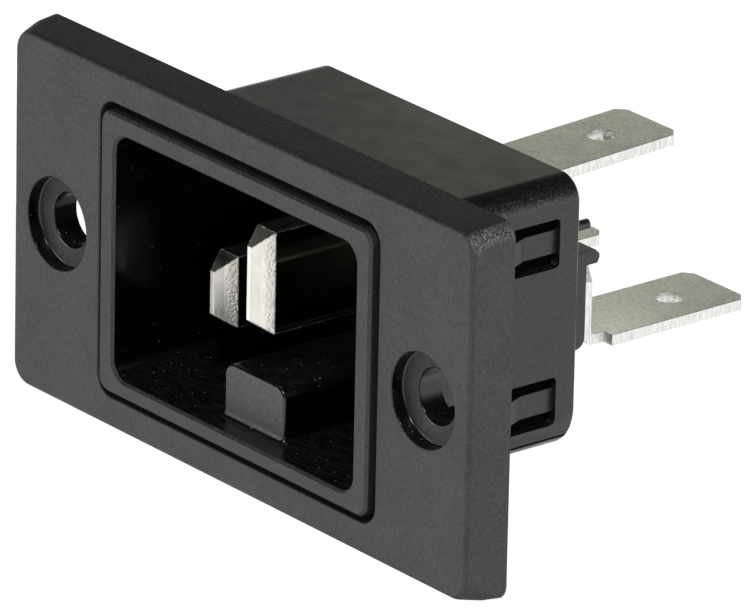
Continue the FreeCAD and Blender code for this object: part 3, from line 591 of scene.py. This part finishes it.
# %% Painted shade: matte black for the slots
slot_painted_shade, tree = new_material("painted_shade_in_slot")
skin = add(tree, "ShaderNodeBsdfPrincipled",
           {"Base Color": linear("#050505"), "Roughness": 0.9, "IOR": pbt_ior,
            "Specular IOR Level": 0.05})
add(tree, "ShaderNodeOutputMaterial", {"Surface": skin.outputs[0]})
print(slot_painted_shade.name, "has", len(tree.nodes), "nodes")

# %% [markdown]
# ## The mounting frame
# The frame is a moulded plate whose outer edges taper towards the front, so that it leaves
# its mould, with a stepped screw hole at each end. Its solid has a short straight land
# before the taper starts. On the real one the taper runs straight from the rear edge to the
# rounded front. A new plate could be built for that, but moving the skin that is there keeps
# every hole and pocket: points near the outline move inwards, most at the land's end and
# not at all at the rear edge and where the taper stops.

# %% Straighten the taper
outline_radius = 1.2 * MM
land_end = 1.45 * MM
taper_end = 2.8 * MM
taper_shift = 0.184 * MM
skin_depth = 0.75 * MM

frame_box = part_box("mounting_frame")
edge_x, edge_z = frame_box[1][0], frame_box[1][2]
bm = merged("mounting_frame")
moved = 0
for vert in bm.verts:
    beyond_x = max(abs(vert.co.x) - edge_x + outline_radius, 0)
    beyond_z = max(abs(vert.co.z) - edge_z + outline_radius, 0)
    forward = -vert.co.y
    on_skin = max(abs(vert.co.x) - edge_x, abs(vert.co.z) - edge_z) > -skin_depth
    if on_skin and 0 < forward < taper_end:
        share = min(forward / land_end, (taper_end - forward) / (taper_end - land_end))
        out = Vector((math.copysign(beyond_x, vert.co.x), 0,
                      math.copysign(beyond_z, vert.co.z))).normalized()
        vert.co -= out * taper_shift * share
        moved += 1
flatten(bm)
print("moved", moved, "points of the taper by up to", round(taper_shift / MM, 3), "mm")

# %% [markdown]
# ## The screw holes' steps
# Each screw hole narrows in a step from a wide counterbore to the bore. The core pin that
# shapes it has eased corners, so these two edges are rounder than the rest and carry a soft
# band of light. One bevel width for the whole plate would be too sharp for them or too
# round for the rest, so they are found by their distance from the hole's middle and rounded
# first.

# %% Round the steps
screw_x = 20 * MM
counterbore = 3.31 * MM
bore = 1.95 * MM
near = 0.03 * MM
step_front, step_rear = -2.6 * MM, -1.5 * MM
step_angle = 0.7
step_round = 0.12 * MM


def from_screw(point):
    return math.hypot(abs(point.x) - screw_x, point.z)


def on_step(edge):
    steps = [min(abs(from_screw(v.co) - r) for r in (counterbore, bore)) for v in edge.verts]
    depths = [v.co.y for v in edge.verts]
    return max(steps) < near and step_front < min(depths) and max(depths) < step_rear


steps = [e for e in bm.edges if on_step(e) and e.calc_face_angle() > step_angle]
round_edges(bm, steps, step_round, segments=3)

# %% [markdown]
# ## The frame's skin
# The plate is grained all over except in its screw holes, where the core pins leave polished
# walls, and the step gets a darker copy of the grain as painted shade. The holes could be cut
# off as pieces of their own, but one moulding stays one piece: a face takes its finish from
# where its middle lies and which way it looks.

# %% Finish the frame
mould_round = 0.05 * MM
front_skin = 0.02 * MM
square_on = 0.95

soften(bm, mould_round)
finishes = [grained, polished, counterbore_painted_shade]
for face in bm.faces:
    point = face.calc_center_median()
    in_hole = from_screw(point) < counterbore + near
    if in_hole and point.y > frame_box[0][1] + front_skin:
        # Faces on the step that look straight forwards get the painted shade.
        ring = face.normal.y < -square_on
        face.material_index = finishes.index(counterbore_painted_shade if ring else polished)
finish_piece(bm, "frame_moulding", "mounting_frame", finishes)

# %% [markdown]
# ## The moulded body
# The body is one moulding from a mould of several steels: a grained rim that matches the
# frame, a satin outside and a polished cavity. Its slots are painted shade, a matte black, and
# the key rib's end is painted light, a paler grain.
# Its faces could be picked one by one. Asking where each face lies is shorter, and goes on
# working when a size changes, because the room inside the cavity is read from the part's own
# record.

# %% Where the body's surfaces lie
wall = 0.45 * MM
mouth_depth = 0.26 * MM
rim_depth = 1.66 * MM
slot_floor = (13.40 * MM, 13.60 * MM)
key_end = 6 * MM
faces_side, faces_front = 0.7, 0.8

rooms = [o["box_m"] for o in frame["record"]["physics"]["openings"]]
low = [min(r[0][i] for r in rooms) for i in range(3)]
high = [max(r[1][i] for r in rooms) for i in range(3)]
body_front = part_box("socket_body")[0][1]
mouth_y = body_front + mouth_depth
flange_y = body_front + rim_depth


def in_cavity(point):
    inside = all(low[i] - wall < point[i] < high[i] + wall for i in (0, 2))
    return inside and mouth_y < point[1] < high[1] + wall


def in_slot(face, point):
    looks_sideways = abs(face.normal.x) > faces_side
    return slot_floor[0] < abs(point.x) < slot_floor[1] and looks_sideways


print("cavity in mm:", [[round(v / MM, 1) for v in corner] for corner in (low, high)])


# %% Dress the body
def body_finish(face):
    point = face.calc_center_median()
    # Painted light: the key rib's front takes the paler copy of the grain.
    if face.normal.y < -faces_front and in_cavity(point) and point.y < key_end:
        return key_front_painted_light
    if in_slot(face, point):
        return slot_painted_shade
    if in_cavity(point):
        return polished
    return grained if point.y < flange_y else satin


def dress(node_name, piece_name, edge_round, finish_of, finishes):
    bm = merged(node_name)
    flatten(bm)
    soften(bm, edge_round)
    for face in bm.faces:
        face.material_index = finishes.index(finish_of(face))
    finish_piece(bm, piece_name, node_name, finishes)


dress("socket_body", "socket_moulding", mould_round, body_finish,
      [grained, satin, polished, slot_painted_shade, key_front_painted_light])

# %% [markdown]
# ## Coined nickel for the blades
# Blades and tabs are brass, plated with a few micrometres of nickel: a slightly warm white
# metal. The blades' noses are coined and then tumbled in a drum, so they are bright with
# small pits. Pits could be pressed into the mesh, but they are far finer than its faces, so
# noise drives a bump. The pits are deepest along the side where the blade was sheared off,
# and fade across it. The Wrap node folds all three blades, 8 mm apart, onto one.

# %% Coined nickel
half_pitch = 4 * MM
clean_side, pitted_side = 0.55 * MM, 0.98 * MM
pit = 0.2 * MM
coined_patch = 0.8 * MM

coined, tree = new_material("nickel_plate_coined")
where = add(tree, "ShaderNodeTexCoord").outputs["Object"]
place = add(tree, "ShaderNodeSeparateXYZ", {0: where})
local = add(tree, "ShaderNodeMath", {0: place.outputs["X"], 1: half_pitch, 2: -half_pitch},
            operation="WRAP")
outer = add(tree, "ShaderNodeMapRange", {"Value": local.outputs[0], "From Min": clean_side,
                                         "From Max": pitted_side, "To Min": 0.06,
                                         "To Max": 1.0})
pits = add(tree, "ShaderNodeTexNoise", {"Vector": where, "Scale": 1 / pit,
                                        "Detail": 3.0, "Roughness": 0.6})
pitted = add(tree, "ShaderNodeMath", {0: pits.outputs["Fac"], 1: outer.outputs["Result"]},
             operation="MULTIPLY")
bump = add(tree, "ShaderNodeBump", {"Height": pitted.outputs[0], "Strength": 1.0,
                                    "Distance": 0.08 * MM})
wide = add(tree, "ShaderNodeTexNoise", {"Vector": where, "Scale": 1 / coined_patch,
                                        "Detail": 2.0, "Roughness": 0.6})
rough = add(tree, "ShaderNodeMapRange", {"Value": wide.outputs["Fac"], "From Min": 0.3,
                                         "From Max": 0.7, "To Min": 0.26, "To Max": 0.38})
shine = add(tree, "ShaderNodeBsdfPrincipled",
            {"Base Color": linear("#f8f6ee"), "Metallic": 1.0,
             "Roughness": rough.outputs["Result"], "Normal": bump.outputs[0]})
add(tree, "ShaderNodeOutputMaterial", {"Surface": shine.outputs[0]})
print(coined.name, "has", len(tree.nodes), "nodes")

# %% [markdown]
# ## Tumbled edges
# In the drum the blades knock against each other, and their edges take most of the blows:
# they end up rounded and dented. A dented outline could be modelled, but it would need many
# small faces, so the narrow bevel strips get a material of their own, with a deep bump in
# which every dent glints another way.

# %% Tumbled nickel
dent = 0.16 * MM

tumbled, tree = new_material("nickel_plate_tumbled_edge")
where = add(tree, "ShaderNodeTexCoord").outputs["Object"]
dents = add(tree, "ShaderNodeTexNoise", {"Vector": where, "Scale": 1 / dent,
                                         "Detail": 2.0, "Roughness": 0.6})
bump = add(tree, "ShaderNodeBump", {"Height": dents.outputs["Fac"], "Strength": 1.0,
                                    "Distance": 0.16 * MM})
rough = add(tree, "ShaderNodeMapRange", {"Value": dents.outputs["Fac"], "From Min": 0.3,
                                         "From Max": 0.7, "To Min": 0.3, "To Max": 0.5})
shine = add(tree, "ShaderNodeBsdfPrincipled",
            {"Base Color": linear("#f6f4ee"), "Metallic": 1.0,
             "Roughness": rough.outputs["Result"], "Normal": bump.outputs[0]})
add(tree, "ShaderNodeOutputMaterial", {"Surface": shine.outputs[0]})
print(tumbled.name, "has", len(tree.nodes), "nodes")

# %% [markdown]
# ## Burnished sides
# The blades' flat sides are where the connector's springs rub, and the rolled strip they are
# cut from is smooth to begin with. They mirror the black cavity clearly and look black
# themselves. The coined finish would scatter light from all round into them, so they get a
# smooth one without a bump, whose roughness wanders just enough to look like metal.

# %% Burnished nickel in a painted-shade tint
burnished_patch = 1.5 * MM

burnished_and_shaded, tree = new_material("nickel_plate_burnished_painted_shade")
where = add(tree, "ShaderNodeTexCoord").outputs["Object"]
wide = add(tree, "ShaderNodeTexNoise", {"Vector": where, "Scale": 1 / burnished_patch,
                                        "Detail": 3.0, "Roughness": 0.6})
rough = add(tree, "ShaderNodeMapRange", {"Value": wide.outputs["Fac"], "From Min": 0.3,
                                         "From Max": 0.7, "To Min": 0.05, "To Max": 0.09})
# The sides' nickel is tinted darker than the coined noses: painted shade, so that they read
# black.
shine = add(tree, "ShaderNodeBsdfPrincipled",
            {"Base Color": linear("#cfcdc4"), "Metallic": 1.0,
             "Roughness": rough.outputs["Result"]})
add(tree, "ShaderNodeOutputMaterial", {"Surface": shine.outputs[0]})
print(burnished_and_shaded.name, "has", len(tree.nodes), "nodes")

# %% [markdown]
# ## Rolled sheet
# The tabs are punched from rolled strip and plated afterwards. The sheet keeps a satin skin
# with fine marks along the strip, and the plating blooms in pale and grey grains.
# An anisotropic shader could stretch the highlights, but on such small faces only the marks
# themselves show. So they are drawn: a noise stretched along the tab gives the bump, and a
# rounder one the bloom.

# %% Rolled nickel
mark_width = 0.16 * MM
strip_stretch = (1, 0.35, 1)
rolled_patch = 1.6 * MM
bloom_grain = 0.3 * MM

rolled, tree = new_material("nickel_plate_rolled_sheet")
where = add(tree, "ShaderNodeTexCoord").outputs["Object"]
along = add(tree, "ShaderNodeMapping", {"Vector": where, "Scale": strip_stretch})
scratch = add(tree, "ShaderNodeTexNoise", {"Vector": along.outputs[0],
                                           "Scale": 1 / mark_width, "Detail": 3.0,
                                           "Roughness": 0.6})
bump = add(tree, "ShaderNodeBump", {"Height": scratch.outputs["Fac"], "Strength": 0.6,
                                    "Distance": 0.02 * MM})
wide = add(tree, "ShaderNodeTexNoise", {"Vector": where, "Scale": 1 / rolled_patch,
                                        "Detail": 5.0, "Roughness": 0.65})
rough = add(tree, "ShaderNodeMapRange", {"Value": wide.outputs["Fac"], "From Min": 0.3,
                                         "From Max": 0.7, "To Min": 0.3, "To Max": 0.42})
bloom = add(tree, "ShaderNodeTexNoise", {"Vector": where, "Scale": 1 / bloom_grain,
                                         "Detail": 3.0, "Roughness": 0.7})
cloud = add(tree, "ShaderNodeMapRange", {"Value": bloom.outputs["Fac"], "From Min": 0.35,
                                         "From Max": 0.62})
tone = add(tree, "ShaderNodeMix", {0: cloud.outputs["Result"], 6: linear("#dcddd4"),
                                   7: linear("#fffff8")}, data_type="RGBA")
shine = add(tree, "ShaderNodeBsdfPrincipled",
            {"Base Color": tone.outputs[2], "Metallic": 1.0,
             "Roughness": rough.outputs["Result"], "Normal": bump.outputs[0]})
add(tree, "ShaderNodeOutputMaterial", {"Surface": shine.outputs[0]})
print(rolled.name, "has", len(tree.nodes), "nodes")

# %% [markdown]
# ## Sheared edges
# Where the punch cuts the sheet it drags fine lines straight through the thickness. With the
# face's finish the edge would read as bent sheet, not as cut sheet. So it gets its own: the
# same kind of noise, stretched upwards through the thickness, on a slightly greyer nickel.

# %% Sheared nickel
drag_line = 0.12 * MM
punch_stretch = (1, 1, 0.15)

sheared, tree = new_material("nickel_plate_sheared_edge")
where = add(tree, "ShaderNodeTexCoord").outputs["Object"]
through = add(tree, "ShaderNodeMapping", {"Vector": where, "Scale": punch_stretch})
drag = add(tree, "ShaderNodeTexNoise", {"Vector": through.outputs[0],
                                        "Scale": 1 / drag_line, "Detail": 2.0,
                                        "Roughness": 0.6})
bump = add(tree, "ShaderNodeBump", {"Height": drag.outputs["Fac"], "Strength": 0.8,
                                    "Distance": 0.03 * MM})
streak = add(tree, "ShaderNodeMapRange", {"Value": drag.outputs["Fac"], "From Min": 0.35,
                                          "From Max": 0.65})
tone = add(tree, "ShaderNodeMix", {0: streak.outputs["Result"], 6: linear("#d6d6d3"),
                                   7: linear("#f4f4f2")}, data_type="RGBA")
rough = add(tree, "ShaderNodeMapRange", {"Value": drag.outputs["Fac"], "From Min": 0.3,
                                         "From Max": 0.7, "To Min": 0.4, "To Max": 0.28})
shine = add(tree, "ShaderNodeBsdfPrincipled",
            {"Base Color": tone.outputs[2], "Metallic": 1.0,
             "Roughness": rough.outputs["Result"], "Normal": bump.outputs[0]})
add(tree, "ShaderNodeOutputMaterial", {"Surface": shine.outputs[0]})
print(sheared.name, "has", len(tree.nodes), "nodes")

# %% [markdown]
# ## Blades and tabs
# Each of the three contacts is two pieces: a thick blade that points forwards, and a folded
# tab behind, staked onto the blade's tail. All blades are finished alike and so are all
# tabs, so one loop makes the six. The tumbled blades are rounded by more than the
# moulded parts, and the punched tabs by less.

# %% Contacts and terminals
tumbled_round = 0.13 * MM
punched_round = 0.04 * MM
strip_width = 0.15 * MM
faces_up = 0.6


def blade_finish(face):
    if width_of(face) < strip_width:
        return tumbled
    return burnished_and_shaded if abs(face.normal.x) > square_on else coined


def terminal_finish(face):
    return sheared if abs(face.normal.z) < faces_up else rolled


for side in ("earth", "left", "right"):
    dress(side + "_blade", side + "_contact", tumbled_round, blade_finish,
          [coined, burnished_and_shaded, tumbled])
    dress(side + "_terminal", side + "_quick_connect", punched_round,
          terminal_finish, [rolled, sheared])
